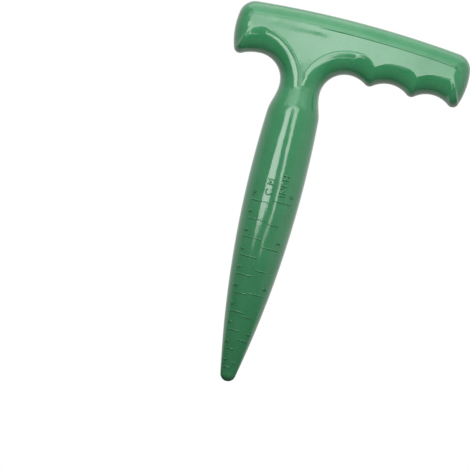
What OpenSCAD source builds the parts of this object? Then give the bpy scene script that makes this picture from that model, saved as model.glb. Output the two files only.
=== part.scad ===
// Hand dibber: a T-handled tool that is pressed into soil to open planting holes.
// Two moulded half shells meet in the plane of the T. The front shell carries the raised
// depth scale and the sockets, the back shell the locating lip and the pins.
// +Z runs up the spike from the tip, +X along the long arm of the grip, and the front faces -Y.

/* [Spike] */
// Height of the belly, the thickest part of the spike, above the tip
belly_z = 113; // [100:1:125]
// Radius of the belly
belly_r = 15; // [13.5:0.1:17]
// Radius of the blunt tip
tip_r = 4.2; // [3.6:0.1:6]
// Height of the neck's waist above the tip
neck_z = 160.5; // [150:0.5:180]
// Radius of the neck's waist
neck_r = 11.1; // [9.5:0.1:12.5]
// Length of the shoulder that draws the spike in to the neck
shoulder_len = 14.5; // [10:0.5:25]
// Distance below the neck's waist at which the front and the back of the spike begin to draw in
face_shoulder_len = 12; // [8:0.5:14]
// Length over which they draw in, which runs on under the grip's flats
face_run = 18; // [16:0.5:24]
// Half depth that they draw in to
face_neck = 10.9; // [10:0.1:12.5]

/* [Grip] */
// Thickness of the grip between its two flats, halfway up them
grip_t = 21.4; // [19:0.2:26]
// Fall of each flat per millimetre of height: the grip is thicker at the neck than at the crown
flat_slope = 0.04; // [0:0.01:0.06]
// Height of the grip from the webs beside the neck to the crown
grip_h = 28.6; // [26:0.1:34]
// Reach of the short arm from the spike's axis
short_arm = 41.5; // [39:0.5:50]
// Reach of the long arm from the spike's axis
long_arm = 86.4; // [83:0.1:92]
// Radius of the webs that run from the neck into the arms
web_r = 13.6; // [11:0.1:15]
// Radius of the long curve along the crown
crown_r = 580; // [300:10:1500]
// Distance along the grip from the spike's axis to the crown's highest point
crown_x = 16; // [0:1:30]
// Radius of the bowed end of each arm
end_r = 40; // [30:1:80]
// Depth of an arm's widest point below the crown's highest point
end_drop = 16.2; // [14:0.1:18]
// Radius of the upper corners
top_corner_r = 9; // [6:0.5:11]
// Width of the rounding along the crown
crown_round_w = 7.6; // [5:0.1:9]
// Width of the rounding at the end of the long arm
long_end_round_w = 9.2; // [7:0.1:10]
// Width of the rounding at the end of the short arm
short_end_round_w = 8.2; // [7:0.1:10]
// Width of the rounding over the tops of the finger grooves
under_round_w = 10.9; // [8:0.1:12]
// Width of the rounding at the cusps of the flat, beside the ridges
cusp_round_w = 10.5; // [8:0.1:11]
// Width of the rounding at the top of the web under the long arm
long_web_round_w = 13.1; // [9:0.1:14]
// Width of the rounding at the top of the web under the short arm
short_web_round_w = 14.8; // [9:0.1:15]
// Width of the rounding over the lower corner of the short arm
thumb_round_w = 16.6; // [13:0.1:17]
// Width of the rounding beside the neck, under the long arm
long_neck_round_w = 12.2; // [9:0.1:13]
// Width of the rounding beside the neck, under the short arm
short_neck_round_w = 9.3; // [8:0.1:11]

/* [Tongue] */
// Distance from the neck's waist up to the tongue that each flat ends in
tongue_rise = 1.1; // [0.5:0.1:4]
// Length of the drop from the tongue to the round neck
tongue_run = 3; // [2:0.1:6]
// Distance below the neck's waist at which the round front begins to grow flat
open_start = 8.5; // [6:0.5:11]
// Height over which it grows flat
open_len = 13; // [9:0.5:16]
// Distance below the neck's waist at which the neck begins to swell into the grip
swell_start = 4; // [2:0.5:6]
// Height over which the neck swells to the depth of the flats
swell_len = 15; // [10:0.5:20]

/* [Finger grooves] */
// Distance from the spike's axis to the first ridge between the fingers
first_ridge_x = 35.2; // [33:0.1:38]
// Distance from one ridge to the next
finger_pitch = 23; // [20:0.1:24]
// Depth of the finger grooves below the tops of the ridges
finger_depth = 3.9; // [2.5:0.1:5]
// How much higher the grooves lie than the webs beside the neck
finger_lift = 0.6; // [0:0.1:1.5]
// Depth of the thumb hollow under the short arm
thumb_depth = 2.7; // [1.5:0.1:4]
// Radius of the ridges and of the lower corners
ridge_r = 3.4; // [2:0.1:4.5]
// Distance along the grip from a ridge to the cusp of the flat above it
cusp_shift = 0.9; // [0:0.1:2]
// Place of the flat's highest point between two cusps, as a share of the pitch
bow_lean = 0.55; // [0.4:0.05:0.6]

/* [Shells] */
// Wall of both shells
wall = 2.2; // [1.6:0.1:3]
// Thickness of the locating lip that stands on the back shell's rim
lip_t = 1; // [0.6:0.1:1.2]
// Height of the locating lip
lip_h = 1.2; // [0.8:0.1:2]
// Gap round the lip, and between facing ribs
lip_clear = 0.15; // [0.05:0.05:0.3]

/* [Posts and ribs] */
// Radius of the posts that carry the pins and the sockets
post_r = 4; // [3.4:0.1:5]
// Radius of the locating pins
pin_r = 2; // [1.5:0.1:2.5]
// Length of the locating pins
pin_len = 5; // [3:0.5:7]
// Radial gap between a pin and its socket
pin_clear = 0.05; // [0.02:0.01:0.1]
// Depth left free below a pin's end
socket_spare = 0.6; // [0.3:0.1:1]
// Thickness of the stiffening ribs
rib_t = 1.6; // [1.2:0.1:2.4]
// Height of the ribs in the grip
grip_rib_h = 10; // [7:0.5:11]
// How far posts and ribs reach into the wall that carries them
root = 0.8; // [0.4:0.1:1]

/* [Depth scale] */
// Height of the scale's zero: it counts from just below the blunt tip
scale_zero = -2.4; // [-4:0.1:0]
// Height of the raised scale lines
mark_h = 0.35; // [0.2:0.05:0.6]
// Width of the raised scale lines
mark_w = 0.6; // [0.4:0.05:1]
// Number of centimetre lines
cm_marks = 10; // [6:1:11]
// Number of half-inch lines
half_inch_marks = 8; // [4:1:9]
// Half the bare strip between the two columns of lines, in degrees round the spike
column_gap = 1.5; // [1:0.5:5]
// Reach of a long scale line round the spike, in degrees
long_mark = 46; // [30:1:60]
// Reach of a half-inch line between two whole inches, in degrees
short_mark = 30; // [15:1:45]

/* [Hidden] */

centimetre = 10;
half_inch = 12.7;
plastic = [0.17, 0.52, 0.32];
$fn = 64;

// Steps along the parts of the outline and across the rounding
tip_steps = 4;
spike_steps = 11;
shoulder_steps = 5;
web_steps = 6;
arm_steps = 5;
groove_steps = 7;
end_groove_steps = 12;
thumb_steps = 5;
corner_steps = 3;
cap_steps = 5;
outer_steps = 8;
inner_steps = 3;
rib_sides = 12;
flat_grid = 0.01;

// Steps of the spike that carry a post, and those that carry a rib
post_steps = [3, 6, 9];
rib_steps = [1, 5, 8];

// How far a cut or a pin runs past the face it starts from
overlap = 1;

// The tongue's step fades out down the rounding by this power of the sine
step_power = 24;

// The spike is a tangent ogive: one long arc from the belly to the round tip
ogive_r = (belly_r ^ 2 - tip_r ^ 2 + (belly_z - tip_r) ^ 2) / (2 * (belly_r - tip_r));

// Heights that the grip hangs on
web_top = neck_z + web_r;
crown_z = web_top + grip_h;
end_z = crown_z - end_drop;
groove_z = web_top + finger_lift;
ridge_z = groove_z - finger_depth;
thumb_z = web_top - thumb_depth;
spine_z = crown_z - (crown_round_w + (grip_h - under_round_w)) / 2;
web_x = neck_r + web_r;

// The flat runs down over the neck to a blunt tongue, and drops from there to the round neck
tongue_z = neck_z + tongue_rise;
crown_centre = [crown_x, crown_z - crown_r];

// Centre of the arc that bows an end, of the lower corner and of the upper corner.
// Arms reach to the side that dir gives: 1 for the long arm, -1 for the short one.
function end_centre(arm, dir) = [dir * (arm - end_r), end_z];
function low_corner(arm, dir, low_z) = let (dz = low_z + ridge_r - end_z)
    end_centre(arm, dir) + [dir * sqrt((end_r - ridge_r) ^ 2 - dz ^ 2), dz];
function top_corner(arm, dir) =
    meet(end_centre(arm, dir), end_r - top_corner_r, crown_centre, crown_r - top_corner_r, dir);

// Where two circles cross, on the side that dir gives and above the line of their centres
function meet(a, ra, b, rb, dir) = let (
    gap = norm(b - a),
    along = (ra ^ 2 - rb ^ 2 + gap ^ 2) / (2 * gap),
    off = sqrt(ra ^ 2 - along ^ 2),
    u = (b - a) / gap
) a + along * u + off * dir * [-u[1], u[0]];

long_low = low_corner(long_arm, 1, ridge_z);
short_low = low_corner(short_arm, -1, thumb_z);
long_top = top_corner(long_arm, 1);
short_top = top_corner(short_arm, -1);

// Each arm ends in a fan round the last point of the spine. The flat ends there in a box with soft
// corners, this far past that point, and its lower side falls outwards by this share.
cap_span = 1;
cap_slope = 0.5;
corner_power = 6;
long_end_x = long_arm - long_end_round_w - cap_span;
short_end_x = cap_span + short_end_round_w - short_arm;

// Low points of the underside of the long arm
ridge_xs = [first_ridge_x, first_ridge_x + finger_pitch, long_low[0]];

function mix(a, b, t) = a * (1 - t) + b * t;
function ease(t) = let (u = min(max(t, 0), 1)) u * u * (3 - 2 * u);
function heading(v) = atan2(v[1], v[0]);

// Half width and half depth of the spike at a height, from the tip's pole to the neck's waist
function spike(z, waist, start, run) = z < tip_r * (1 - (belly_z - tip_r) / (ogive_r - tip_r))
    ? sqrt(max(0, tip_r ^ 2 - (tip_r - z) ^ 2))
    : mix(belly_r - ogive_r + sqrt(ogive_r ^ 2 - (z - belly_z) ^ 2), waist, ease((z - neck_z + start) / run));
function spike_r(z) = spike(z, neck_r, shoulder_len, shoulder_len);
function spike_depth(z) = spike(z, face_neck, face_shoulder_len, face_run);

// Height of the crown
function crown_at(x) = crown_centre[1] + sqrt(crown_r ^ 2 - (x - crown_x) ^ 2);

// A hollow is an arc that runs from its top into a rounded ridge
function hollow(x, top_x, top_z, low_x, low_z) = let (
    half = abs(low_x - top_x),
    drop = top_z - low_z,
    arcs = (half ^ 2 + drop ^ 2) / (2 * drop),
    hollow_r = arcs - ridge_r,
    off = abs(x - top_x)
) off < half * hollow_r / arcs
    ? top_z - hollow_r + sqrt(max(0, hollow_r ^ 2 - off ^ 2))
    : low_z + ridge_r - sqrt(max(0, ridge_r ^ 2 - (half - off) ^ 2));

// The underside: the thumb hollow, the outer half of the long web, two finger grooves
function groove(x, left, right) =
    hollow(x, (left + right) / 2, groove_z, x < (left + right) / 2 ? left : right, ridge_z);
function under(x) =
    x < 0 ? hollow(x, -web_x, web_top, short_low[0], thumb_z)
    : x < ridge_xs[0] ? hollow(x, web_x, web_top, ridge_xs[0], ridge_z)
    : x < ridge_xs[1] ? groove(x, ridge_xs[0], ridge_xs[1])
    : groove(x, ridge_xs[1], ridge_xs[2]);

// The lower edge of the flat bows over each groove and falls to a cusp beside each ridge,
// by the cube of the share of the way there. Past the top of the last bow it is level.
bow_power = 3;
cusp_xs = [ridge_xs[0] + cusp_shift, ridge_xs[1] + cusp_shift];
bow_xs = [for (x = cusp_xs) x + bow_lean * finger_pitch];
bow_z = groove_z + under_round_w;
cusp_z = ridge_z + cusp_round_w;
function bow(x, top_x, top_z, low_x, low_z) =
    mix(top_z, low_z, abs((x - top_x) / (low_x - top_x)) ^ bow_power);
function flat_edge(x) =
    x < 0 ? bow(x, -web_x, web_top + short_web_round_w, short_end_x, thumb_z + thumb_round_w)
    : x < cusp_xs[0] ? bow(x, web_x, web_top + long_web_round_w, cusp_xs[0], cusp_z)
    : x < bow_xs[0] ? bow(x, bow_xs[0], bow_z, cusp_xs[0], cusp_z)
    : x < cusp_xs[1] ? bow(x, bow_xs[0], bow_z, cusp_xs[1], cusp_z)
    : x < bow_xs[1] ? bow(x, bow_xs[1], bow_z, cusp_xs[1], cusp_z)
    : bow_z;

// Width of the rounding beside the neck, which is the whole half of the round spike below it, and in
// a web, where it widens to the arm by the cube of the turn
web_power = 3;
function opened(z) = ease((z - neck_z + open_start) / open_len);
function side_w(dir) = dir > 0 ? long_neck_round_w : short_neck_round_w;
function neck_w(z, dir) = mix(spike_r(z), side_w(dir), opened(z));
function web_w(k, dir) = let (
    c = [dir * web_x, neck_z],
    turn = atan2(k[1] - c[1], abs(k[0] - c[0])) / 90,
    w = mix(side_w(dir), dir > 0 ? long_web_round_w : short_web_round_w, turn ^ web_power)
) mix(norm(k - c) - web_r, w, opened(k[1]));

// Half depth over a point of the spine: of the flat, of the roundings beside it, which swell from
// the round neck, and of the step from those up to the tongue
function flat_at(z) = grip_t / 2 - flat_slope * (z - spine_z);
function round_at(z) =
    mix(spike_depth(min(z, neck_z)), flat_at(z), ease((z - neck_z + swell_start) / swell_len));
function step_at(z) =
    (flat_at(z) - round_at(z)) * ease((z - tongue_z + tongue_run) / tongue_run);

// Points of a flat keep to a fine grid of heights, so that the whole flat is one plane
function grid(p) = p[1] < tongue_z ? p : [p[0], spine_z + flat_grid * round((p[1] - spine_z) / flat_grid)];

// A station joins a point of the outline to a point of the spine that the T is built round.
// It holds both points, the width of the rounding between them, the half depth of the rounding
// at the spine, how fast that falls with height, and the height of the tongue's step.
// A rounding that comes as near to the spine as the grid ends on it.
function station(p, k, w) = let (
    g = grid(k),
    reach = norm(g - p),
    fall = g[1] < neck_z ? 0 : flat_slope
) [p, g, w > reach - flat_grid ? reach : w, round_at(g[1]), fall, step_at(g[1])];
function web_point(k, dir) = let (c = [dir * web_x, neck_z]) c + web_r * (k - c) / norm(k - c);

function steps(a, b, n) = [for (i = [0 : n - 1]) mix(a, b, i / n)];
shoulder_z = neck_z - shoulder_len;
spike_zs = concat(steps(tip_r, shoulder_z, spike_steps), steps(shoulder_z, neck_z, shoulder_steps));
web_zs = concat([neck_z], steps(tongue_z, spine_z, web_steps));
long_xs = concat(steps(0, web_x, arm_steps), steps(web_x, cusp_xs[0], groove_steps),
                 steps(cusp_xs[0], cusp_xs[1], 2 * groove_steps),
                 steps(cusp_xs[1], long_end_x, end_groove_steps), [long_end_x]);
short_xs = concat(steps(0, -web_x, arm_steps), steps(-web_x, short_end_x, thumb_steps), [short_end_x]);

// One side of the spike, from the tip's pole to the neck, then the web up to the spine's fork
function spike_side(dir) = concat(
    [for (i = [1 : tip_steps - 1]) let (z = tip_r * (1 - cos(90 * i / tip_steps)))
        station([dir * spike_r(z), z], [0, tip_r], tip_r)],
    [for (z = spike_zs) station([dir * spike_r(z), z], [0, z], neck_w(z, dir))],
    [for (z = web_zs) station(web_point([0, z], dir), [0, z], web_w([0, z], dir))]);

// The underside of an arm, outwards from the fork
function arm_under(xs, dir) = [for (x = xs) let (k = [x, spine_z])
    abs(x) < web_x ? station(web_point(k, dir), k, web_w(k, dir))
                   : station([x, under(x)], k, flat_edge(x) - under(x))];
function arm_over(xs) = [for (x = xs) station([x, crown_at(x)], [x, spine_z], crown_round_w)];

// Share of the way to the edge of the flat's box that a point of a cap lies at
function box_share(out, up, end_x) = let (
    box = up > 0 ? crown_at(end_x) - crown_round_w - spine_z : spine_z - flat_edge(end_x),
    off = up > 0 ? up : max(0, -up - cap_slope * out)
) ((out / cap_span) ^ corner_power + (off / box) ^ corner_power) ^ (1 / corner_power);

// The end of an arm, from the underside round the lower corner, the bowed end and the upper corner
function turned(dir, a) = [dir * cos(a), sin(a)];
function arm_cap(arm, dir, end_x, low, top) = let (
    k = [end_x, spine_z],
    c = end_centre(arm, dir),
    low_a = heading([dir * (low - c)[0], (low - c)[1]]),
    top_a = heading([dir * (top - c)[0], (top - c)[1]]),
    crown_a = heading([dir * (top - crown_centre)[0], (top - crown_centre)[1]]),
    edge = concat(
        [for (i = [1 : corner_steps - 1]) let (x = mix(end_x, low[0], i / corner_steps)) [x, under(x)]],
        [for (i = [0 : cap_steps - 1]) low + ridge_r * turned(dir, mix(-90, low_a, i / cap_steps))],
        [for (i = [0 : cap_steps - 1]) c + end_r * turned(dir, mix(low_a, top_a, i / cap_steps))],
        [for (i = [0 : cap_steps]) top + top_corner_r * turned(dir, mix(top_a, crown_a, i / cap_steps))])
) [for (p = edge) let (v = p - k) station(p, k, norm(v) * (1 - 1 / box_share(abs(v[0]), v[1], end_x)))];

function backwards(list) = [for (i = [len(list) - 1 : -1 : 0]) list[i]];
function without_first(list) = [for (i = [1 : len(list) - 1]) list[i]];

// The whole outline of the T as a closed loop of stations
outline = concat(
    [station([0, 0], [0, tip_r], tip_r)],
    spike_side(1),
    arm_under(long_xs, 1),
    arm_cap(long_arm, 1, long_end_x, long_low, long_top),
    backwards(arm_over(long_xs)),
    without_first(arm_over(short_xs)),
    backwards(arm_cap(short_arm, -1, short_end_x, short_low, short_top)),
    backwards(arm_under(short_xs, -1)),
    backwards(spike_side(-1)));

// A point of a half body: a distance on from the outline to the spine, at a depth
function along(s, d) = mix(s[0], s[1], d / norm(s[1] - s[0]));
function at(s, d, depth) = let (p = along(s, d)) [p[0], -depth, p[1]];

// A point of the skin, or of the same skin an inset further in: the rounding is a quarter of an
// ellipse, from the outline at 0 degrees to the flat, or the spike's crest, at 90
function skin(s, inset, angle) = let (
    p = angle < 90 ? along(s, inset + (s[2] - inset) * (1 - cos(angle))) : grid(along(s, s[2])),
    depth = s[3] - inset - s[4] * (p[1] - s[1][1])
) [p[0], -depth * sin(angle) - s[5] * sin(angle) ^ step_power, p[1]];

// Rim of a half shell between its outer and inner skins: a rebate for the lip, or the lip itself
function rim(s, lip) = lip
    ? [at(s, 0, 0), at(s, wall - lip_t + lip_clear, 0), at(s, wall - lip_t + lip_clear, lip_clear - lip_h),
       at(s, wall, lip_clear - lip_h), at(s, wall, 0)]
    : [at(s, 0, 0), at(s, wall - lip_t, 0), at(s, wall - lip_t, lip_h)];
function inner_start(s, lip) = lip ? 0 : asin(lip_h / (s[3] - wall));

function ring(s, lip) = concat(
    [[s[1][0], -s[3] - s[5], s[1][1]]],
    [for (i = [outer_steps : -1 : 1]) skin(s, 0, 90 * i / outer_steps)],
    rim(s, lip),
    [for (i = [lip ? 1 : 0 : inner_steps]) skin(s, wall, mix(inner_start(s, lip), 90, i / inner_steps))],
    [[s[1][0], wall - s[3] - s[5], s[1][1]]]);

// Where stations share a point of the spine, triangles shrink to a line and are left out
function apart(a, b, c) = a != b && b != c && a != c;

// A half shell on the front side, as one skin that runs over the outside, the rim and the inside
module half_shell(lip) {
    rings = [for (s = outline) ring(s, lip)];
    n = len(rings);
    m = len(rings[0]);
    points = [for (r = rings) each r];
    faces = [for (i = [0 : n - 1], j = [0 : m - 2]) let (
            a = i * m + j, b = ((i + 1) % n) * m + j)
        each [[a, b + 1, a + 1], [a, b, b + 1]]];
    polyhedron(points, [for (f = faces) if (apart(points[f[0]], points[f[1]], points[f[2]])) f]);
}

// Places along the spine where a pin meets a socket: three in the grip, three in the spike
grip_posts = [-web_x, web_x, ridge_xs[1] + finger_pitch / 2];
spike_posts = [for (i = post_steps) (spike_zs[i] + spike_zs[i + 1]) / 2];
grip_ribs = [-neck_r, neck_r, ridge_xs[0], (ridge_xs[0] + ridge_xs[1]) / 2, ridge_xs[1]];
spike_ribs = [for (i = rib_steps) (spike_zs[i] + spike_zs[i + 1]) / 2];

// A round bar that runs along Y, from one depth in front of the parting plane to another
module bar(r, x, z, from, to) {
    translate([x, -from, z])
        rotate([90, 0, 0])
            cylinder(r = r, h = to - from);
}

// The posts of one half, rooted in the wall and ending in the parting plane
module posts() {
    for (x = grip_posts) bar(post_r, x, spine_z, 0, grip_t / 2 - wall + root);
    for (z = spike_posts) bar(post_r, 0, z, 0, spike_r(z) - wall + root);
}

// Plates across the grip and half discs across the spike, from the wall up to a depth
module ribs(depth) {
    for (x = grip_ribs)
        translate([x - rib_t / 2, wall - root - grip_t / 2, spine_z - grip_rib_h / 2])
            cube([rib_t, grip_t / 2 - wall + root - depth, grip_rib_h]);
    for (z = spike_ribs)
        translate([0, 0, z - rib_t / 2])
            difference() {
                cylinder(r = spike_r(z) - wall + root, h = rib_t, $fn = rib_sides);
                translate([-belly_r, -depth, -overlap])
                    cube([2 * belly_r, 2 * belly_r, rib_t + 2 * overlap]);
            }
}

// One raised line that lies round the front of the spike, between two angles from the front
module scale_line(z, from, to) {
    translate([0, 0, z - mark_w / 2])
        rotate([0, 0, from - 90])
            rotate_extrude(angle = to - from)
                translate([spike_r(z) - root, 0])
                    square([root + mark_h, mark_w]);
}

// Centimetres on the left of the spike's front, half inches on its right
module depth_scale() {
    for (i = [1 : cm_marks]) scale_line(scale_zero + i * centimetre, -long_mark, -column_gap);
    for (i = [1 : half_inch_marks])
        scale_line(scale_zero + i * half_inch, column_gap, i % 2 == 0 ? long_mark : short_mark);
}

module front_shell() {
    color(plastic)
        difference() {
            union() {
                half_shell(false);
                posts();
                ribs(lip_h + lip_clear);
                depth_scale();
            }
            for (x = grip_posts) bar(pin_r + pin_clear, x, spine_z, -overlap, pin_len + socket_spare);
            for (z = spike_posts) bar(pin_r + pin_clear, 0, z, -overlap, pin_len + socket_spare);
        }
}

module back_shell() {
    color(plastic) {
        mirror([0, 1, 0])
            half_shell(true);
        mirror([0, 1, 0])
            posts();
        mirror([0, 1, 0])
            ribs(lip_clear);
        for (x = grip_posts) bar(pin_r, x, spine_z, -overlap, pin_len);
        for (z = spike_posts) bar(pin_r, 0, z, -overlap, pin_len);
    }
}

front_shell();
back_shell();
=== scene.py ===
# %% [markdown]
# # A moulded hand dibber
# A gardener presses this tool into soil to open a planting hole of a known depth. The real one is a
# hollow plastic T, moulded as a front and a back half that meet in the plane of the T. The packed
# model holds both halves as plain solids and fixes every size. The lesson lays smooth skins over
# them, raises the lines and numbers of the depth scale, and gives the plastic its gloss.

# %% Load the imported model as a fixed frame
import math
from collections import namedtuple

import bmesh
import bpy
import numpy as np
from mathutils import Matrix, Vector


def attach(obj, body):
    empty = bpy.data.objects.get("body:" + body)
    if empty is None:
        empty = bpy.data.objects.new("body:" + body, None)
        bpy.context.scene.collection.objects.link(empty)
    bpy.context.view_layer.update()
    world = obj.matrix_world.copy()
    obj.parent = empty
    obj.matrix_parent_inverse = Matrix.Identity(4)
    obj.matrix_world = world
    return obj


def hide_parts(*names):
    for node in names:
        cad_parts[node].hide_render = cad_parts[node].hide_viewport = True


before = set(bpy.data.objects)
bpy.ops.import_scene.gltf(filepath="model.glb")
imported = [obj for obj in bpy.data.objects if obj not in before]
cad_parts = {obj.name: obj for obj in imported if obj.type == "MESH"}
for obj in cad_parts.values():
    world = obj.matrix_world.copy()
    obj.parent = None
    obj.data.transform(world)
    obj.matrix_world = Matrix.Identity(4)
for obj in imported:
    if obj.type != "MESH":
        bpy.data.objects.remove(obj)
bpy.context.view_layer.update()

# %% [markdown]
# ## The sizes
# A drawing of the tool needs few lengths, and the rest follows from them. They could be measured on
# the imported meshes, but a skin worked out from the same lengths is smooth where those have facets.
# All lengths are millimetres, and a mesh turns to metres when it is made.

# %% Lengths of the spike, the grip and the finger grooves
MM = 0.001
# Spike: the belly and the tip, then the neck and the length over which the shoulder draws in
BELLY_Z, BELLY_R, TIP_R = 113.0, 15.0, 4.2
NECK_Z, NECK_R, SHOULDER = 160.5, 11.1, 14.5
# Grip: depth, height and the fall of its flat for each millimetre up, the arms' reach and the webs' radius
GRIP_T, GRIP_H, FLAT_FALL = 21.4, 28.6, 0.04
SHORT_ARM, LONG_ARM, WEB_R = 41.5, 86.4, 13.6
# Arcs: radius and middle of the crown, bow of an end and how far below the crown it is centred, top corners.
# The spine of the grip lies below the crown too.
CROWN_R, CROWN_X, SPINE_DROP = 580.0, 16.0, 12.65
END_R, END_DROP, TOP_CORNER_R = 40.0, 16.2, 9.0
# Finger grooves: the first ridge, their pitch, the ridges' radius, and how deep the hollows are
FIRST_RIDGE_X, FINGER_PITCH, RIDGE_R = 35.2, 23.0, 3.4
FINGER_DEPTH, FINGER_LIFT, THUMB_DEPTH = 3.9, 0.6, 2.7
# Width of the rounding between the outline and the flat, and the short length of flat inside an end
CROWN_ROUND, UNDER_ROUND, CUSP_ROUND, THUMB_ROUND = 7.6, 10.6, 10.8, 14.2
LONG_NECK_ROUND, SHORT_NECK_ROUND = 12.2, 10.4
LONG_WEB_ROUND, SHORT_WEB_ROUND = 12.2, 14.2
LONG_END_ROUND, SHORT_END_ROUND, CAP_SPAN = 9.2, 8.2, 1.0

WEB_TOP = NECK_Z + WEB_R
CROWN_Z = WEB_TOP + GRIP_H
END_Z = CROWN_Z - END_DROP
GROOVE_Z = WEB_TOP + FINGER_LIFT
RIDGE_Z = GROOVE_Z - FINGER_DEPTH
THUMB_Z = WEB_TOP - THUMB_DEPTH
SPINE_Z = CROWN_Z - SPINE_DROP
WEB_X = NECK_R + WEB_R
print(f"crown at {CROWN_Z:.1f} mm, spine of the grip at {SPINE_Z:.2f} mm")

# %% [markdown]
# ## The spike
# The spike is turned on its axis in shape: a blunt round tip, one long arc out to the belly, and a
# shoulder that draws it in to the neck. Front and back draw in less than the sides, so the neck is a
# little deeper than wide. A lathe curve could give the spike alone, but the grip has to grow out of
# it, so here it is only a radius for each height.

# %% Half width and half depth of the spike
# Where the straight front of the neck begins, how fast it draws in, and how softly the two meet
FACE_Z, FACE_SLOPE, FACE_SOFT = 150.4, 0.184, 0.12
OGIVE_R = (BELLY_R**2 - TIP_R**2 + (BELLY_Z - TIP_R) ** 2) / (2 * (BELLY_R - TIP_R))


def mix(a, b, t):
    """The point a share t of the way from a to b."""
    return a * (1 - t) + b * t


def ease(t):
    """Rises from 0 to 1 with a level start and end: 3 t squared less 2 t cubed."""
    t = np.clip(t, 0, 1)
    return t * t * (3 - 2 * t)


def ogive(z):
    """The tip's circle, then one long arc through the belly."""
    dome_end = TIP_R * (1 - (BELLY_Z - TIP_R) / (OGIVE_R - TIP_R))
    dome = np.sqrt(np.maximum(0, TIP_R**2 - (TIP_R - z) ** 2))
    return np.where(z < dome_end, dome, BELLY_R - OGIVE_R + np.sqrt(OGIVE_R**2 - (z - BELLY_Z) ** 2))


def spike_r(z):
    """Half width of the spike: the ogive, which eases to the neck over the length of the shoulder."""
    z = np.asarray(z, float)
    return mix(ogive(z), NECK_R, ease((z - NECK_Z + SHOULDER) / SHOULDER))


def lower(a, b, soft):
    """The lower of two heights, with their meeting rounded: half their sum, less half the root of the gap squared
    plus the softness squared."""
    return (a + b - np.hypot(a - b, soft)) / 2


def spike_depth(z):
    """Half depth of the spike: the ogive, which bends into a straight slope up the front of the neck."""
    return lower(ogive(z), ogive(FACE_Z) - FACE_SLOPE * (z - FACE_Z), FACE_SOFT)


print("spike radius every 20 mm:", np.round(spike_r(np.arange(0, NECK_Z, 20)), 2))

# %% [markdown]
# ## The outline of the grip
# Seen from the front, the grip is a chain of arcs: a long crown, a bowed end on each arm, rounded
# corners, a hollow for the thumb and three for the fingers with rounded ridges between them. Arcs that
# touch without a kink keep the reflections unbroken, which a freehand curve would not.

# %% Corner centres and the underside
CROWN_C = np.array([CROWN_X, CROWN_Z - CROWN_R])


def end_centre(arm, side):
    """Centre of the arc that bows the end of an arm; side is 1 for the long arm and -1 for the short one."""
    return np.array([side * (arm - END_R), END_Z])


def low_corner(arm, side, low_z):
    """Centre of the lower corner: a ridge radius above the lowest point, and inside the end's arc."""
    dz = low_z + RIDGE_R - END_Z
    return end_centre(arm, side) + [side * math.sqrt((END_R - RIDGE_R) ** 2 - dz**2), dz]


def top_corner(arm, side):
    """Centre of the upper corner: where the end's arc and the crown's arc, both shrunk by its radius, cross."""
    a, ra, rb = end_centre(arm, side), END_R - TOP_CORNER_R, CROWN_R - TOP_CORNER_R
    gap = np.linalg.norm(CROWN_C - a)
    u = (CROWN_C - a) / gap
    run = (ra**2 - rb**2 + gap**2) / (2 * gap)
    return a + run * u + side * math.sqrt(ra**2 - run**2) * np.array([-u[1], u[0]])


LONG_LOW, SHORT_LOW = low_corner(LONG_ARM, 1, RIDGE_Z), low_corner(SHORT_ARM, -1, THUMB_Z)
LONG_TOP, SHORT_TOP = top_corner(LONG_ARM, 1), top_corner(SHORT_ARM, -1)
LONG_END = LONG_ARM - LONG_END_ROUND - CAP_SPAN
SHORT_END = CAP_SPAN + SHORT_END_ROUND - SHORT_ARM
RIDGES = [FIRST_RIDGE_X, FIRST_RIDGE_X + FINGER_PITCH, LONG_LOW[0]]


def hollow(x, top_x, top_z, low_x, low_z):
    """An arc from the top of a hollow that runs into a rounded ridge."""
    half, drop = np.abs(low_x - top_x), top_z - low_z
    both = (half**2 + drop**2) / (2 * drop)
    hollow_r, off = both - RIDGE_R, np.abs(x - top_x)
    arch = top_z - hollow_r + np.sqrt(np.maximum(0, hollow_r**2 - off**2))
    ridge = low_z + RIDGE_R - np.sqrt(np.maximum(0, RIDGE_R**2 - (half - off) ** 2))
    return np.where(off < half * hollow_r / both, arch, ridge)


def underside(x):
    """Thumb hollow, outer half of the long web, then two finger grooves. Each is a hollow with its own top and
    ridge."""
    first, second = (RIDGES[0] + RIDGES[1]) / 2, (RIDGES[1] + RIDGES[2]) / 2
    spans = [x < 0, x < RIDGES[0], x < first, x < RIDGES[1], x < second, x >= second]
    top_x = np.select(spans, [-WEB_X, WEB_X, first, first, second, second])
    top_z = np.select(spans, [WEB_TOP, WEB_TOP] + [GROOVE_Z] * 4)
    low_x = np.select(spans, [SHORT_LOW[0], RIDGES[0], RIDGES[0], RIDGES[1], RIDGES[1], RIDGES[2]])
    low_z = np.select(spans, [THUMB_Z] + [RIDGE_Z] * 5)
    return hollow(x, top_x, top_z, low_x, low_z)


def crown_z(x):
    """Height of the crown's long arc."""
    return CROWN_C[1] + np.sqrt(CROWN_R**2 - (x - CROWN_X) ** 2)


print("ridges at", np.round(RIDGES, 1), "thumb corner at", np.round(SHORT_LOW, 1))

# %% [markdown]
# ## The lower edge of the flat
# The flat has an edge of its own, a little calmer than the outline below it: it bows over each groove and
# comes down to a sharp cusp just beside each ridge. The strip between the two is the rounding, so its
# width changes all the way along. A power of three keeps the bows broad and the cusps short.

# %% Bows and cusps of the flat's edge
# How far a cusp lies beside its ridge, and the share of a groove at which the bow is highest
CUSP_SHIFT, EDGE_LEAN = 0.9, 0.55
CUSPS = np.array(RIDGES[:2]) + CUSP_SHIFT


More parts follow.
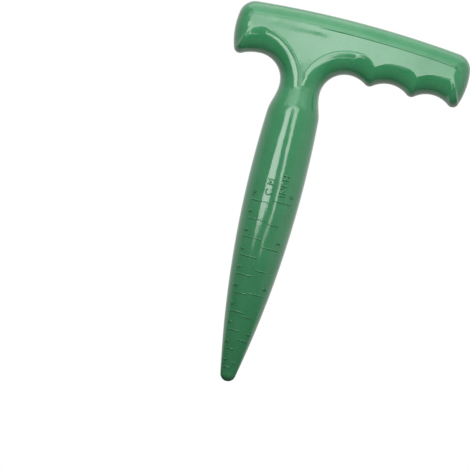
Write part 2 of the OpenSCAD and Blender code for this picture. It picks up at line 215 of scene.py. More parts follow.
def flat_edge(x):
    """Each bow falls from its top to a cusp by the cube of the share of the way; past the last top it is level."""
    tops = CUSPS + EDGE_LEAN * FINGER_PITCH
    spans = [x < 0, x < CUSPS[0], x < tops[0], x < CUSPS[1], x < tops[1], x >= tops[1]]
    top_x = np.select(spans, [-WEB_X, WEB_X, tops[0], tops[0], tops[1], x])
    cusp_x = np.select(spans, [SHORT_END, CUSPS[0], CUSPS[0], CUSPS[1], CUSPS[1], x + 1])
    web_tops = [WEB_TOP + SHORT_WEB_ROUND, WEB_TOP + LONG_WEB_ROUND]
    top_z = np.select(spans, web_tops + [GROOVE_Z + UNDER_ROUND] * 4)
    cusp_z = np.select(spans, [THUMB_Z + THUMB_ROUND] + [RIDGE_Z + CUSP_ROUND] * 5)
    return mix(top_z, cusp_z, np.abs((x - top_x) / (cusp_x - top_x)) ** 3)


print("flat's edge every 10 mm:", np.round(flat_edge(np.arange(-30.0, 80, 10)), 1))

# %% [markdown]
# ## Rays from the outline to the spine
# The whole T hangs on a spine: the spike's axis and a level line through the grip. Each point of the
# outline has a ray to a point of the spine, and along it lies the rounding, as wide as the real one
# looks, and then the flat. Bevel modifiers can't change their width along an edge like this, so the
# rays carry it as a number of their own.

# %% Rays along the spike, the webs and the arms
# The height at which the flat begins to open, the run over which it does, and its tongue above the waist
OPEN_Z, OPEN_RUN, OPEN_SOFT, TONGUE_RISE = 156.0, 9.0, 0.9, 1.1
TONGUE_Z = NECK_Z + TONGUE_RISE
Rays = namedtuple("Rays", "rim spine width")


def rays(x, z, spine_x, spine_z, width):
    """Joins outline points, spine points and the width of the rounding between them."""
    x, z, spine_x, spine_z, width = np.broadcast_arrays(x, z, spine_x, spine_z, width)
    return Rays(np.stack([x, z], 1), np.stack([spine_x, spine_z], 1), np.array(width, float))


def steps(a, b, n):
    """n even steps from a, stopping one short of b."""
    return np.linspace(a, b, n, endpoint=False)


def open_width(reach, width, z):
    """The rounding fills the whole reach below the neck and eases to its own width above. Where the two are close,
    half the root of the squared gap and a softness keeps the flat's edge from kinking."""
    opened = ease((z - OPEN_Z) / OPEN_RUN)
    gap = opened * (reach - width)
    return reach - (gap + np.hypot(gap, OPEN_SOFT * opened)) / 2


def web_rays(spine_x, spine_z, side):
    """Rays that fan out from the centre of a web's arc. Its rounding widens up to the arm by the cube of the turn."""
    spine_x, spine_z = np.broadcast_arrays(spine_x, spine_z)
    away = np.stack([spine_x - side * WEB_X, spine_z - NECK_Z], 1)
    length = np.linalg.norm(away, axis=1)
    arc = WEB_R * away / length[:, None]
    turn = np.arctan2(away[:, 1], np.abs(away[:, 0])) / (math.pi / 2)
    neck, top = (LONG_NECK_ROUND, LONG_WEB_ROUND) if side > 0 else (SHORT_NECK_ROUND, SHORT_WEB_ROUND)
    width = open_width(length - WEB_R, mix(neck, top, turn**3), spine_z)
    return rays(side * WEB_X + arc[:, 0], NECK_Z + arc[:, 1], spine_x, spine_z, width)


def spike_rays(side):
    """From the tip's pole up one side: a fan round the tip's centre, level rays, then the web's fan to the fork.
    The rounding fills the whole spike, and eases to its own width beside the neck, where the front grows flat."""
    turn = steps(0, math.pi / 2, 14)[1:]
    z = TIP_R * (1 - np.cos(turn))
    tip = rays(side * spike_r(z), z, 0, TIP_R, 2 * BELLY_R)
    z = np.concatenate([steps(TIP_R, NECK_Z - SHOULDER, 130), steps(NECK_Z - SHOULDER, NECK_Z, 36)])
    neck = LONG_NECK_ROUND if side > 0 else SHORT_NECK_ROUND
    shaft = rays(side * spike_r(z), z, 0, z, open_width(spike_r(z), neck, z))
    z = np.concatenate([steps(NECK_Z, TONGUE_Z, 6), steps(TONGUE_Z, SPINE_Z, 60)])
    return [tip, shaft, web_rays(0, z, side)]


def under_rays(x, side):
    """The underside of an arm: the web's fan out to its top, then upright rays with the flat's edge on them."""
    past_web = np.abs(x) >= WEB_X - 1e-6
    fan, run = x[~past_web], x[past_web]
    z = underside(run)
    return [web_rays(fan, SPINE_Z, side), rays(run, z, run, SPINE_Z, flat_edge(run) - z)]


def crown_rays(x):
    """Upright rays from the crown's arc down to the spine."""
    return rays(x, crown_z(x), x, SPINE_Z, CROWN_ROUND)


LONG_X = np.concatenate([
    steps(0, WEB_X, 50), steps(WEB_X, CUSPS[0], 40), steps(CUSPS[0], CUSPS[1], 90),
    steps(CUSPS[1], LONG_END, 70), [LONG_END]])
SHORT_X = np.concatenate([steps(0, -WEB_X, 50), steps(-WEB_X, SHORT_END, 16), [SHORT_END]])
print("rays on the arms:", len(LONG_X), "long,", len(SHORT_X), "short")

# %% [markdown]
# ## The ends of the arms
# Each arm ends in a soft cap: lower corner, bowed end, upper corner. All its rays meet in one point of
# the spine, like the ribs of a fan. The flat ends there in a box with soft corners, and the rounding is
# what each ray has left outside the box. Below, the roundings of the underside and the end meet in a
# mitre, and the flat runs down into it as a narrow cusp.

# %% Caps, and the whole outline as one closed loop of rays
# The flat's lower corner on an arm: length and heading of its cusp, its power, and the lean of the box
Corner = namedtuple("Corner", "cusp heading power slope")
LONG_CORNER = Corner(6.5, math.radians(67), 3, 0.5)
SHORT_CORNER = Corner(5.6, math.radians(71), 2.5, 0.85)
CUSP_SIDE = math.radians(10)


def arc_points(centre, radius, side, angles):
    """Points on an arc, whose angles are counted from the side that the arm reaches to."""
    return np.stack([centre[0] + side * radius * np.cos(angles), centre[1] + radius * np.sin(angles)], 1)


def cap_rays(arm, side, end_x, low, top):
    """From the underside round the lower corner, the bowed end and the upper corner to the crown. A ray leaves the
    box where the sixth powers of its shares of the box's half width and half height add up to one. The box leans by
    a slope below the spine, and the flat runs on in a cusp towards the lower corner, which narrows by a power of the
    angle, faster on the side of the end."""
    corner = LONG_CORNER if side > 0 else SHORT_CORNER
    bow = end_centre(arm, side)
    low_a, top_a = [math.atan2(c[1] - bow[1], side * (c[0] - bow[0])) for c in (low, top)]
    crown_a = math.atan2(top[1] - CROWN_C[1], side * (top[0] - CROWN_C[0]))
    t = steps(0, 1, 30)
    under_x = mix(end_x, low[0], t[1:])
    x, z = np.concatenate([
        np.stack([under_x, underside(under_x)], 1),
        arc_points(low, RIDGE_R, side, mix(-math.pi / 2, low_a, t)),
        arc_points(bow, END_R, side, mix(low_a, top_a, t)),
        arc_points(top, TOP_CORNER_R, side, mix(top_a, crown_a, np.append(t, 1)))]).T
    length = np.hypot(x - end_x, z - SPINE_Z)
    box_z = np.where(z > SPINE_Z, crown_z(end_x) - CROWN_ROUND - SPINE_Z, SPINE_Z - flat_edge(np.array(end_x)))
    out = np.abs(x - end_x)
    down = np.where(z > SPINE_Z, z - SPINE_Z, SPINE_Z - z - corner.slope * out)
    shares = (out / CAP_SPAN) ** 6 + (down.clip(0) / box_z) ** 6
    aside = np.arctan2(SPINE_Z - z, out) - corner.heading
    aside = np.where(aside > 0, aside / (math.pi / 2 - corner.heading), -aside / CUSP_SIDE)
    cusp = corner.cusp * (1 - aside).clip(0) ** corner.power
    return [rays(x, z, end_x, SPINE_Z, length - length * shares ** (-1 / 6) - cusp)]


def chain(parts, reverse=False):
    """Several runs of rays as one, or the same run backwards."""
    whole = Rays(*(np.concatenate(field) for field in zip(*parts)))
    return Rays(*(field[::-1] for field in whole)) if reverse else whole


loop = chain([
    rays(np.array([0.0]), 0, 0, TIP_R, TIP_R),
    chain(spike_rays(1) + under_rays(LONG_X, 1) + cap_rays(LONG_ARM, 1, LONG_END, LONG_LOW, LONG_TOP)),
    chain([crown_rays(LONG_X)], reverse=True),
    crown_rays(SHORT_X[1:]),
    chain(spike_rays(-1) + under_rays(SHORT_X, -1) + cap_rays(SHORT_ARM, -1, SHORT_END, SHORT_LOW, SHORT_TOP),
          reverse=True),
])
print("rays round the whole outline:", len(loop.width))

# %% [markdown]
# ## From rays to a half shell
# A half shell is one closed skin: over the outside from the spine to the parting line, across the rim,
# and back over the inside. Its rounding is a quarter of an ellipse, from square to the parting line up
# to level with the flat, which it meets in a crease over the finger grooves. The flat lies in a shallow
# recess, whose wall shows beside the webs and along the long arm's crown, and it has a faint sink mark
# over the root of the spike, where thick plastic shrinks as it cools.

# %% Depth of the skin along each ray
# A span is where a form begins along the grip, the run of its rise, where it stops and the run of its fall
TONGUE_RUN, TONGUE_SOFT = 5.0, 0.12
RECESS, RECESS_W, RECESS_EDGE, RECESS_SPAN = 0.28, 0.55, 3.2, (-26, 10, 32, 8)
CROWN_SHARE, CROWN_RUN, TURN_RISE, TURN_RUN = 0.75, 16.0, 4.0, 5.0
SINK, SINK_Z, SINK_RUN, SINK_SPAN = 0.19, 188.3, 5.0, (-34, 16, 18, 16)
CREASE, CREASE_SPAN = math.radians(18), (24, 6, 80, 4)


def window(x, start, rise, stop, fall):
    """Eases from 0 to 1 past the start, and back to 0 ahead of the stop."""
    return ease((x - start) / rise) * ease((stop - x) / fall)


reach_all = np.linalg.norm(loop.spine - loop.rim, axis=1)
width_all = np.minimum(loop.width, reach_all)
heading_all = (loop.spine - loop.rim) / reach_all[:, None]
spine_height = loop.spine[:, 1]
flat_depth = GRIP_T / 2 - FLAT_FALL * (spine_height - SPINE_Z)
shaft_depth = spike_depth(spine_height)
neck_flat = np.where(spine_height < OPEN_Z - TONGUE_RUN, 0, flat_depth)
softness = TONGUE_SOFT * ease((spine_height - OPEN_Z + TONGUE_RUN) / TONGUE_RUN)
round_depth = -lower(-shaft_depth, -neck_flat, softness)
fall_all = np.where(spine_height < NECK_Z, 0, FLAT_FALL)
lowered = RECESS * ease((spine_height - TONGUE_Z + RECESS_EDGE / 2) / RECESS_EDGE)
depth_all = round_depth - lowered

rim_x, rim_z = loop.rim.T
upper = ease((rim_z - SPINE_Z - TURN_RISE) / TURN_RUN)
edged = mix(window(rim_x, *RECESS_SPAN), CROWN_SHARE * ease(rim_x / CROWN_RUN), upper)
crest_all = lowered * edged * ease((reach_all - width_all) / RECESS_W)
creased = window(rim_x, *CREASE_SPAN) * (rim_z < SPINE_Z)
full_turn = (math.pi / 2 - CREASE * creased)[:, None]


def lay(reach, depth):
    """Points at a reach from the outline along each ray, and at a depth in front of the parting plane."""
    reach, depth = np.broadcast_arrays(reach, depth)
    flat = loop.rim[:, None] + heading_all[:, None] * reach[..., None]
    return np.stack([flat[..., 0], -depth, flat[..., 1]], 2)


def level(reach):
    """Depth of the flat at a reach: the spine's depth less the fall on the way. Over the root of the spike it sinks
    by a fifth of a millimetre, eased in along the height and over a window along the grip."""
    x, z = (loop.rim[:, None, k] + heading_all[:, None, k] * reach for k in (0, 1))
    sunk = SINK * window(x, *SINK_SPAN) * ease((z - SINK_Z) / SINK_RUN)
    return depth_all[:, None] - fall_all[:, None] * (z - loop.spine[:, None, 1]) - sunk


def skin(inset, angle):
    """A quarter ellipse along each ray: reach is width times (1 - cos angle), depth is half depth times sin angle.
    Over the finger grooves it stops short of the quarter and is stretched to the same width and depth."""
    reach = inset + (width_all[:, None] - inset) * (1 - np.cos(angle)) / (1 - np.cos(full_turn))
    return lay(reach, (level(reach) + crest_all[:, None] - inset) * np.sin(angle) / np.sin(full_turn))


print(f"depth of the skin from {depth_all.min():.2f} to {depth_all.max():.2f} mm")

# %% [markdown]
# ## The wall and the parting line
# The halves meet in a hairline: each has a tiny rounding at the rim, the back half a lip and the front
# half a rebate that takes it. A Solidify modifier would give a wall too, but not the lip. A few rows of
# points just inside the recess keep its steep wall from shading the flat.

# %% Rows of a half shell
WALL, LIP_T, LIP_H, LIP_GAP, SEAM_R = 2.2, 1.0, 1.2, 0.15, 0.22
OUTER_ROWS, RECESS_ROWS, PANEL_ROWS, SEAM_ROWS, INNER_ROWS = 40, 8, 10, 5, 10
GUARD = 1.4


def half_shell_grid(lip):
    """Rows of points over the outside, the seam's rounding, the rim and the inside, one column for each ray."""
    deep = depth_all[:, None]
    inside = deep - WALL
    spine = np.stack([loop.spine[:, 0], 0 * depth_all, loop.spine[:, 1]], 1)[:, None]
    t = np.linspace(GUARD, 0, RECESS_ROWS)[None, :-1]
    margin = np.minimum(width_all[:, None] + RECESS_W * t, reach_all[:, None])
    panel = mix(reach_all[:, None], margin[:, :1], np.linspace(0, 1, PANEL_ROWS, endpoint=False)[None])
    crest = crest_all[:, None] * (1 - ease(t))
    seam = np.linspace(math.pi / 2, 0, SEAM_ROWS)[None, 1:]
    seam_rows = lay(SEAM_R * (1 - np.sin(seam)) + 0 * deep, SEAM_R * (1 - np.cos(seam)))
    outer = mix(np.arcsin(SEAM_R * np.sin(full_turn) / deep), full_turn, np.linspace(1, 0, OUTER_ROWS)[None])
    edge = WALL - LIP_T
    if lip:
        rim_rows = lay(np.array([[edge + LIP_GAP, edge + LIP_GAP, WALL, WALL]]) + 0 * deep,
                       np.array([[0, LIP_GAP - LIP_H, LIP_GAP - LIP_H, 0]]))
        start = 0 * deep
    else:
        rim_rows = lay(np.array([[edge, edge]]) + 0 * deep, np.array([[0, LIP_H]]))
        start = np.arcsin(LIP_H * np.sin(full_turn) / inside)
    inner = mix(start, full_turn, np.linspace(0, 1, INNER_ROWS)[None])
    return np.concatenate([
        lay(panel, level(panel)), lay(margin, level(margin) + crest), skin(0, outer), seam_rows, rim_rows,
        skin(WALL, inner), spine - inside[..., None] * [0, 1, 0]], 1)


front_grid, back_grid = half_shell_grid(False), half_shell_grid(True) * [1, -1, 1]
print("front grid", front_grid.shape, "back grid", back_grid.shape)

# %% [markdown]
# ## Putting a grid into a mesh
# A grid of points becomes quads between neighbouring rows and columns. Where rays share a point of the
# spine, the doubles merge, which closes the skin. The signed volume then tells whether the faces point
# outwards: if it comes out negative, every face is turned round.

# %% Meshes from grids
MERGE = 1e-7


def grid_quads(rows, columns, round_rows, round_columns=False):
    """Corner numbers of the quads of a grid that may close on itself in either direction."""
    i = np.arange(rows if round_rows else rows - 1)[:, None]
    j = np.arange(columns if round_columns else columns - 1)[None]
    down, right = (i + 1) % rows, (j + 1) % columns
    corners = [i * columns + j, i * columns + right, down * columns + right, down * columns + j]
    return np.stack([np.broadcast_to(c, np.broadcast_shapes(i.shape, j.shape)).ravel() for c in corners], 1)


def signed_volume(points, quads):
    """A sixth of the sum of the triple products of the triangles' corners."""
    a, b, c, d = (points[quads[:, k]] for k in range(4))
    return (np.einsum("ij,ij->i", a, np.cross(b, c)) + np.einsum("ij,ij->i", a, np.cross(c, d))).sum() / 6


def add_piece(name, points, faces, crease=40):
    """A named object at the origin from points in millimetres. Doubles merge, and only edges that turn by more than
    the crease, in degrees, stay sharp."""
    mesh = bpy.data.meshes.new(name)
    mesh.from_pydata((np.asarray(points) * MM).tolist(), [], [np.asarray(f).tolist() for f in faces])
    sheet = bmesh.new()
    sheet.from_mesh(mesh)
    bmesh.ops.remove_doubles(sheet, verts=sheet.verts, dist=MERGE)
    bmesh.ops.dissolve_degenerate(sheet, edges=sheet.edges, dist=MERGE)
    open_edges = sum(not e.is_manifold for e in sheet.edges)
    volume = sheet.calc_volume(signed=True) / MM**3
    sheet.to_mesh(mesh)
    sheet.free()
    mesh.polygons.foreach_set("use_smooth", np.ones(len(mesh.polygons), bool))
    mesh.set_sharp_from_angle(angle=math.radians(crease))
    piece = bpy.data.objects.new(name, mesh)
    bpy.context.scene.collection.objects.link(piece)
    print(f"{name}: {len(mesh.polygons)} faces, {volume:.1f} mm3, {open_edges} open edges")
    return piece


def add_grid(name, grid):
    """A piece from a grid of points whose rows close on themselves, with its faces turned outwards."""
    points = grid.reshape(-1, 3)
    quads = grid_quads(grid.shape[0], grid.shape[1], True)
    return add_piece(name, points, quads if signed_volume(points, quads) > 0 else quads[:, ::-1])


front_skin = add_grid("front_shell_skin", front_grid)
back_skin = add_grid("back_shell_skin", back_grid)

# %% [markdown]
# ## The depth scale
# Two columns of raised lines run up the front of the spike: centimetres on the left, half inches on the
# right, where the whole inches are longer. On the mould each is a shallow engraved groove, so on the
# tool it is a low bead with soft ends. A bead is an ellipse carried along an arc round the spike, and it
# shrinks to a point at both ends.

# %% Raised scale lines
SCALE_ZERO, CENTIMETRE, HALF_INCH = -2.4, 10.0, 12.7
CM_COUNT, HALF_INCH_COUNT = 10, 8
MARK_H, MARK_W = 0.35, 0.6
GAP_A, LONG_A, SHORT_A = np.radians([1.5, 46.0, 30.0])
BEAD_STEPS, BEAD_SIDES = 40, 14


def bead(z, start, end):
    """An ellipse of the line's width and height, carried round the spike from one angle to another. Within half a
    width of an end it shrinks as a circle's chord does."""
    t = np.linspace(0, 1, BEAD_STEPS)[:, None]
    s = np.linspace(0, 2 * math.pi, BEAD_SIDES, endpoint=False)[None]
    length = abs(end - start) * spike_r(z)
    close = np.sqrt(np.clip(1 - (1 - np.minimum(t, 1 - t) * length / (MARK_W / 2)).clip(0) ** 2, 0, 1))
    radius = spike_r(z) + close * MARK_H * np.sin(s)
    angle = mix(start, end, t) + 0 * s
    return np.stack([radius * np.sin(angle), -radius * np.cos(angle), z + close * MARK_W / 2 * np.cos(s)], 2)


def add_beads(name, beads):
    """One piece from several beads."""
    quads = grid_quads(beads[0].shape[0], beads[0].shape[1], False, True)
    points = [b.reshape(-1, 3) for b in beads]
    turned = [quads if signed_volume(p, quads) > 0 else quads[:, ::-1] for p in points]
    offsets = np.arange(len(beads)) * len(points[0])
    return add_piece(name, np.concatenate(points), np.concatenate([q + o for q, o in zip(turned, offsets)]))


cm_heights = SCALE_ZERO + CENTIMETRE * np.arange(1, CM_COUNT + 1)
half_inch_heights = SCALE_ZERO + HALF_INCH * np.arange(1, HALF_INCH_COUNT + 1)
cm_lines = add_beads("centimetre_lines", [bead(z, -LONG_A, -GAP_A) for z in cm_heights])
inch_lines = add_beads("half_inch_lines", [
    bead(z, GAP_A, LONG_A if i % 2 else SHORT_A) for i, z in enumerate(half_inch_heights)])

# %% [markdown]
# ## The numbers
# Beside the lines stand small raised numbers that read upwards, and each column has its unit at the top.
# Blender's own font gives the outlines. Each text is made a mesh while it is still flat, and only then
# bent round the spike, so the piece itself stays at the origin.

# %% Raised numbers and units
LETTER_H, LETTER_SPACE, DRAW_IN = 0.56, 1.1, 0.45
NUMBER_SIZE, NUMBER_BEVEL, NUMBER_LIFT, NUMBER_A = 3.2, 0.2, 3.9, 41
CM_SIZE, CM_BEVEL, CM_Z, CM_A = 5.0, 0.46, 106.0, -10.2
INCH_SIZE, INCH_BEVEL, INCH_Z, INCH_A = 4.6, 0.38, 108.2, 18


def letters(body, size, bevel):
    """A text as flat points, x along the line and y up, centred on its own box, with its faces. Its outline draws in
    by part of the bevel, so the bevel makes the strokes a little bolder and round."""
    curve = bpy.data.curves.new("letters", "FONT")
    curve.body, curve.size, curve.extrude, curve.resolution_u = body, size, LETTER_H - bevel, 3
    curve.space_character, curve.bevel_resolution = LETTER_SPACE, 3
    curve.bevel_depth, curve.offset = bevel, -bevel * DRAW_IN
    holder = bpy.data.objects.new("letters", curve)
    bpy.context.scene.collection.objects.link(holder)
    bpy.context.view_layer.update()
    mesh = bpy.data.meshes.new_from_object(holder.evaluated_get(bpy.context.evaluated_depsgraph_get()))
    points = np.empty(len(mesh.vertices) * 3)
    mesh.vertices.foreach_get("co", points)
    points = points.reshape(-1, 3)
    corners, starts = np.empty(len(mesh.loops), np.int32), np.empty(len(mesh.polygons), np.int32)
    mesh.loops.foreach_get("vertex_index", corners)
    mesh.polygons.foreach_get("loop_start", starts)
    bpy.data.objects.remove(holder)
    bpy.data.curves.remove(curve)
    bpy.data.meshes.remove(mesh)
    return points - (points.min(0) + points.max(0)) / 2, np.split(corners, starts[1:])


def wrap(points, z, angle):
    """Bends flat letters round the spike: along the line goes up the spike, up in the letters goes to the left."""
    height = z + points[:, 0]
    radius = spike_r(height)
    turn = angle - points[:, 1] / radius
    out = radius + points[:, 2]
    return np.stack([out * np.sin(turn), -out * np.cos(turn), height], 1)


def add_letters(name, texts):
    """One piece from several texts, each with its size, bevel, height and angle round the spike."""
    all_points, all_faces, count = [], [], 0
    for body, size, bevel, z, angle in texts:
        points, faces = letters(body, size, bevel)
        all_points.append(wrap(points, z, math.radians(angle)))
        all_faces += [face + count for face in faces]
        count += len(points)
    return add_piece(name, np.concatenate(all_points), all_faces, crease=30)


def numbers(heights, angle):
    """Counting numbers from 1, one a little above each line."""
    return [(str(i), NUMBER_SIZE, NUMBER_BEVEL, z + NUMBER_LIFT, angle) for i, z in enumerate(heights, 1)]


cm_unit, inch_unit = ("C M", CM_SIZE, CM_BEVEL, CM_Z, CM_A), ("INCH", INCH_SIZE, INCH_BEVEL, INCH_Z, INCH_A)
cm_numbers = add_letters("centimetre_numbers", numbers(cm_heights, -NUMBER_A) + [cm_unit])
inch_numbers = add_letters("inch_numbers", numbers(half_inch_heights[1::2], NUMBER_A) + [inch_unit])

# %% [markdown]
# ## The finish
# The plastic is a glossy mid green. Where the melt flowed and cooled at different speeds, the colour and
# the gloss drift a little, and the skin has a faint waviness that makes reflections swim. Shader maths
# is easier to read as plain arithmetic, so a small class lets a socket be added and multiplied in Python.

# %% Sockets that can be added and multiplied


class Value:
    """A socket of a shader graph. Arithmetic on it adds Math nodes, also where a plain number comes first."""

    def __init__(self, graph, socket):
        self.graph, self.socket = graph, socket

    def math(self, operation, *terms):
        """One Math node that works on the terms."""
        return self.graph.add("ShaderNodeMath", {"operation": operation}, dict(enumerate(terms)))

    def __add__(self, other):
        return self.math("ADD", self, other)

    def __sub__(self, other):
        return self.math("SUBTRACT", self, other)

    def __rsub__(self, other):
        return self.math("SUBTRACT", other, self)

    def __mul__(self, other):
        return self.math("MULTIPLY", self, other)

    __radd__, __rmul__ = __add__, __mul__

    def larger(self, other):
        """The larger of two values."""
        return self.math("MAXIMUM", self, other)

    def ramp(self, low, high):
        """Eases from 0 to 1 as the value goes from low to high."""
        return self.graph.add("ShaderNodeMapRange", {"interpolation_type": "SMOOTHSTEP"},
                              {"Value": self, "From Min": low, "From Max": high})


class Graph:
    """A material's or a world's node tree, emptied and ready for new nodes."""

    def __init__(self, owner):
        owner.use_nodes = True
        self.tree = owner.node_tree
        self.tree.nodes.clear()

    def add(self, kind, settings=None, inputs=None, output=0):
        """Adds a node: its settings first, then values or links for its sockets. Gives the chosen output."""
        node = self.tree.nodes.new(kind)
        for key, value in (settings or {}).items():
            setattr(node, key, value)
        for key, value in (inputs or {}).items():
            if isinstance(value, Value):
                self.tree.links.new(value.socket, node.inputs[key])
            else:
                node.inputs[key].default_value = value
        return Value(self, node.outputs[output]) if node.outputs else None


print("shader helpers ready")

# %% Green gloss plastic
GREEN = (0.030, 0.199, 0.079, 1)
PALE_GREEN = (0.045, 0.234, 0.102, 1)
# How fine the flow marks, the waves and the specks are, then their shares in the colour, the bump and the gloss
FLOW_SCALE, WAVE_SCALE, SPECK_SCALE = 70, 140, 900
FLOW_SHARE, SPECK_SHARE = 0.6, 0.25
WAVE_STRENGTH, WAVE_DEPTH, WAVE_H, SPECK_H = 0.25, 0.0004, 0.7, 0.06
ROUGH, FLOW_ROUGH, SPECK_ROUGH = 0.06, 0.05, 0.04


def green_plastic(name, drift):
    """Two greens mixed by soft flow marks, with gloss that drifts and a skin that waves very slightly."""
    material = bpy.data.materials.new(name)
    graph = Graph(material)
    place = graph.add("ShaderNodeTexCoord", output="Object")
    shifted = graph.add("ShaderNodeVectorMath", {"operation": "ADD"}, {0: place, 1: (drift, 0, 0)})

    def noise(scale, detail, rough=0.5):
        """Noise on the piece's own coordinates, shifted by the drift."""
        return graph.add("ShaderNodeTexNoise", {}, {
            "Vector": shifted, "Scale": scale, "Detail": detail, "Roughness": rough})

    flow = noise(FLOW_SCALE, 4, 0.55)
    speckle = noise(SPECK_SCALE, 2)
    paleness = flow.ramp(0.3, 0.7) * FLOW_SHARE + speckle.ramp(0.35, 0.7) * SPECK_SHARE
    colour = graph.add("ShaderNodeMix", {"data_type": "RGBA"}, {
        "Factor": paleness, 6: GREEN, 7: PALE_GREEN}, output=2)
    height = noise(WAVE_SCALE, 2) * WAVE_H + speckle * SPECK_H
    bump = graph.add("ShaderNodeBump", {}, {"Strength": WAVE_STRENGTH, "Distance": WAVE_DEPTH, "Height": height})
    roughness = flow * FLOW_ROUGH + speckle * SPECK_ROUGH + ROUGH
    shader = graph.add("ShaderNodeBsdfPrincipled", {}, {
        "Base Color": colour, "Roughness": roughness, "Normal": bump, "IOR": 1.5})
    graph.add("ShaderNodeOutputMaterial", {}, {"Surface": shader})
    return material


front_plastic = green_plastic("green_plastic_front", 0.0)
back_plastic = green_plastic("green_plastic_back", 3.7)
print("materials:", front_plastic.name, back_plastic.name)

# %% [markdown]
# ## The frame
# Nothing on the tool moves, so every piece rides on the root body. The two skins take the place of the
# faceted shells, and the scale has the plastic of the front half.

# %% Hand the pieces to the frame
for piece, material, slot in [
    (front_skin, front_plastic, "green_plastic_front"),
    (back_skin, back_plastic, "green_plastic_back"),
    (cm_lines, front_plastic, "green_plastic_front"),
    (inch_lines, front_plastic, "green_plastic_front"),
    (cm_numbers, front_plastic, "green_plastic_front"),
    (inch_numbers, front_plastic, "green_plastic_front"),
]:
    piece.data.materials.append(material)
    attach(piece, "root")

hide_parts("front_shell")
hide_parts("back_shell")

# %% [markdown]
# ## The camera
# The picture is taken square on, from far enough that the outline keeps its drawn shape, and the camera
# is rolled so that the tool leans to the right. Its centre lies beside the spike, because the tool
# stands in the upper right of the frame.

# %% Camera
LEAN = math.radians(14.1)
PICTURE_PX, PX_PER_MM = 470, 1.875
FAR, ACROSS = 3.0, PICTURE_PX / PX_PER_MM * MM
AIM = Vector((-0.0144, 0, 0.0767))

camera = bpy.data.objects.new("camera", bpy.data.cameras.new("camera"))
bpy.context.scene.collection.objects.link(camera)
right, up, back = (math.cos(LEAN), 0, math.sin(LEAN)), (-math.sin(LEAN), 0, math.cos(LEAN)), (0, -1, 0)
turn = Matrix((right, up, back)).transposed().to_4x4()
camera.matrix_world = Matrix.Translation(AIM + FAR * Vector(back)) @ turn
camera.data.lens = camera.data.sensor_width * FAR / ACROSS
bpy.context.scene.camera = camera
print(f"camera {FAR} m away, lens {camera.data.lens:.0f} mm")

# %% [markdown]
# ## Light
# A glossy tool shows its studio. A board of soft lights stands close in front of it: two tall bars beside
# the lens draw the two bright lines down the spike, and a long panel above them lights the flat of the
# grip. The bars are stacked from short lengths that step sideways and dim towards the foot, so the lines
# follow the swell of the spike and fade near the tip. The board only draws reflections. A small lamp above
# it gives the plain light, and because it hangs near the grip, that light falls off towards the tip.

# %% Soft lights round the camera
BOARD_Y, CEILING_Z, CEILING_DEEP = -400, 750, 800


def lamp(name, place, target, size, brightness):
    """A rectangular area light whose face has a brightness, where 1 is a white wall in full light."""
    light = bpy.data.lights.new(name, "AREA")
    light.shape = "RECTANGLE"
    light.size, light.size_y = size[0] * MM, size[1] * MM
    light.energy = math.pi * light.size * light.size_y * brightness
    holder = bpy.data.objects.new(name, light)
    holder.location = Vector(place) * MM
    holder.rotation_euler = (Vector(target) - Vector(place)).to_track_quat("-Z", "Y").to_euler()
    holder.visible_camera = False
    bpy.context.scene.collection.objects.link(holder)
    return holder


def board(name, across, up, brightness):
    """An upright light in the board's plane, from one x to another and from one height to another."""
    x, z = sum(across) / 2, sum(up) / 2
    light = lamp(name, (x, BOARD_Y, z), (x, 0, z), (across[1] - across[0], up[1] - up[0]), brightness)
    light.visible_diffuse = False


def ceiling(name, across, brightness):
    """A level light over the tool, from one x to another."""
    x = sum(across) / 2
    size = (across[1] - across[0], CEILING_DEEP)
    lamp(name, (x, 0, CEILING_Z), (x, 0, 0), size, brightness).visible_diffuse = False


BOARDS = [
    # the left line, from the top down
    ("left_top", (-248, -92), (178, 216), 8),
    ("left_bar", (-285, -90), (145, 178), 8),
    ("left_waist", (-312, -72), (110, 145), 8),
    ("left_knee", (-325, -68), (72, 110), 8),
    ("left_foot", (-325, -125), (48, 72), 7),
    ("left_toe", (-320, -185), (28, 48), 4.5),
    ("left_tip", (-315, -200), (6, 28), 2.2),
    # the right line, from the top down
    ("right_top", (14, 126), (180, 216), 6.5),
    ("right_bar", (45, 128), (140, 180), 7),
    ("right_waist", (70, 148), (112, 140), 6.5),
    ("right_foot", (92, 160), (56, 112), 6),
    ("right_toe", (60, 135), (40, 56), 4.5),
    ("right_tip", (20, 95), (14, 40), 3.3),
    # the flat of the grip
    ("panel_edge", (-24, 150), (216, 222), 7.5),
    ("panel_corner", (-300, -24), (216, 232), 7.5),
    ("flat_left", (-170, -12), (232, 270), 3.9),
    ("flat_low", (-24, -12), (222, 232), 5.5),
    ("flat_middle", (-12, 34), (222, 270), 6.8),
    ("flat_right", (34, 64), (222, 270), 5.7),
    ("flat_far_right", (64, 170), (222, 270), 3.9),
    ("flat_end", (-60, -33), (222, 246), 4),
    # the front of the neck and the upper roundings
    ("fill_left", (-300, 0), (270, 298), 3.4),
    ("neck_left", (-320, -130), (298, 322), 2),
    ("neck_middle", (-130, 60), (298, 322), 2.7),
    ("neck_right", (60, 320), (298, 322), 0.8),
    ("high_left", (-320, 40), (322, 700), 2.6),
    ("high_far_left", (-640, -320), (306, 700), 1.5),
    ("high_right", (40, 320), (322, 700), 1.6),
    ("high_far_right", (320, 640), (306, 700), 0.9),
]
for row in BOARDS:
    board(*row)
ceiling("ceiling_left", (-600, 40), 1.6)
ceiling("ceiling_right", (40, 600), 0.9)
side_right = lamp("side_right", (480, -130, 150), (0, 0, 150), (350, 500), 0.25)
side_right.visible_diffuse = False
key = lamp("key", (8, -300, 340), (20, 0, 170), (160, 120), 20)
key.visible_glossy = False
print("lights:", [o.name for o in bpy.data.objects if o.type == "LIGHT"])

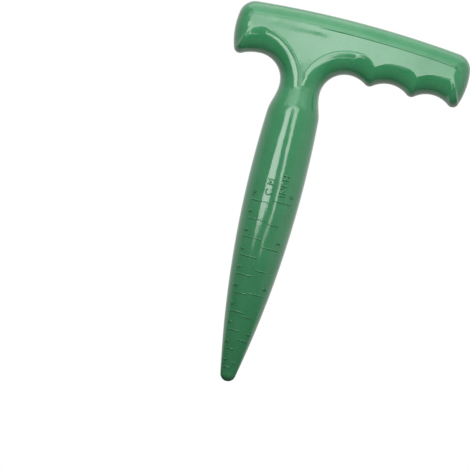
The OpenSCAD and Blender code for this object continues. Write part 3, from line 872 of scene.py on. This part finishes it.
# %% [markdown]
# ## Room and floor
# Behind the tool hangs a white backdrop and in front lies a dim room, so the gloss is dark at the centre
# and pale along the rims. The camera sees white all round. The floor is a pale disc that fades out and is
# clear from below, and it keeps the tool's shadow.

# %% World
# Share of white in the mirrored backdrop, then the room's levels: behind, beside, in the gloss, all round, below
WHITE, BACKDROP = (1, 1, 1, 1), 0.8
BEHIND, BESIDE, BESIDE_CUT, IN_GLOSS, ALL_ROUND, UNDER = 0.4, 0.3, 0.1, 0.1, 0.38, 0.06

world = bpy.data.worlds.new("studio")
bpy.context.scene.world = world
graph = Graph(world)
direction = graph.add("ShaderNodeTexCoord", output="Generated")
behind = graph.add("ShaderNodeSeparateXYZ", {}, {0: direction}, output="Y").ramp(-0.1, 0.5)
above = graph.add("ShaderNodeSeparateXYZ", {}, {0: direction}, output="Z").ramp(-0.5, 0.1)
to_right = graph.add("ShaderNodeSeparateXYZ", {}, {0: direction}, output="X")
camera_ray, glossy_ray, passing_ray = (graph.add("ShaderNodeLightPath", output=kind) for kind in (
    "Is Camera Ray", "Is Glossy Ray", "Is Transmission Ray"))
mirrored = glossy_ray.larger(passing_ray)
white = camera_ray.larger(mirrored * behind * BACKDROP)
beside = to_right.ramp(0.3, 0.9) + (0 - to_right).ramp(0.3, 0.9) * (1 - mirrored)
sides = beside * (BESIDE - mirrored * BESIDE_CUT)
room = (behind * BEHIND + sides + mirrored * IN_GLOSS + ALL_ROUND) * above + UNDER
strength = white * (1 - room) + room
background = graph.add("ShaderNodeBackground", {}, {"Color": WHITE, "Strength": strength})
graph.add("ShaderNodeOutputWorld", {}, {"Surface": background})
print("world ready")

# %% Floor
FLOOR_R, FADE_SHARE, FAR_SIDE_RUN = 0.35, 0.45, 0.06
FLOOR_GREY, FLOOR_GLOW = (0.15, 0.15, 0.15, 1), 0.85

turns, radii = np.linspace(0, 2 * math.pi, 96, endpoint=False), np.linspace(0, FLOOR_R / MM, 24)
floor_grid = np.stack([
    np.outer(np.cos(turns), radii), np.outer(np.sin(turns), radii), np.outer(0 * turns, radii)], 2)
floor = add_piece("floor", floor_grid.reshape(-1, 3), grid_quads(len(turns), len(radii), True))

paint = bpy.data.materials.new("floor_white")
graph = Graph(paint)
place = graph.add("ShaderNodeTexCoord", output="Object")
away = graph.add("ShaderNodeVectorMath", {"operation": "LENGTH"}, {0: place}, output="Value")
camera_ray, glossy_ray = (
    graph.add("ShaderNodeLightPath", output=kind) for kind in ("Is Camera Ray", "Is Glossy Ray"))
far_side = graph.add("ShaderNodeSeparateXYZ", {}, {0: place}, output="Y").ramp(0, FAR_SIDE_RUN)
glow = graph.add("ShaderNodeMix", {"data_type": "RGBA"}, {
    "Factor": camera_ray + glossy_ray * far_side, 6: (0, 0, 0, 1), 7: WHITE}, output=2)
matt = graph.add("ShaderNodeBsdfPrincipled", {}, {
    "Base Color": FLOOR_GREY, "Roughness": 0.8, "Emission Color": glow, "Emission Strength": FLOOR_GLOW})
clear = graph.add("ShaderNodeBsdfTransparent")
from_below = graph.add("ShaderNodeNewGeometry", output="Backfacing")
hidden = away.ramp(FADE_SHARE * FLOOR_R, FLOOR_R).larger(from_below)
fade = graph.add("ShaderNodeMixShader", {}, {0: hidden, 1: matt, 2: clear})
graph.add("ShaderNodeOutputMaterial", {}, {"Surface": fade})
floor.data.materials.append(paint)
print("floor ready")

# %% [markdown]
# ## Picture settings
# The picture keeps plain colours.

# %% Picture settings
bpy.context.scene.view_settings.view_transform = "Standard"
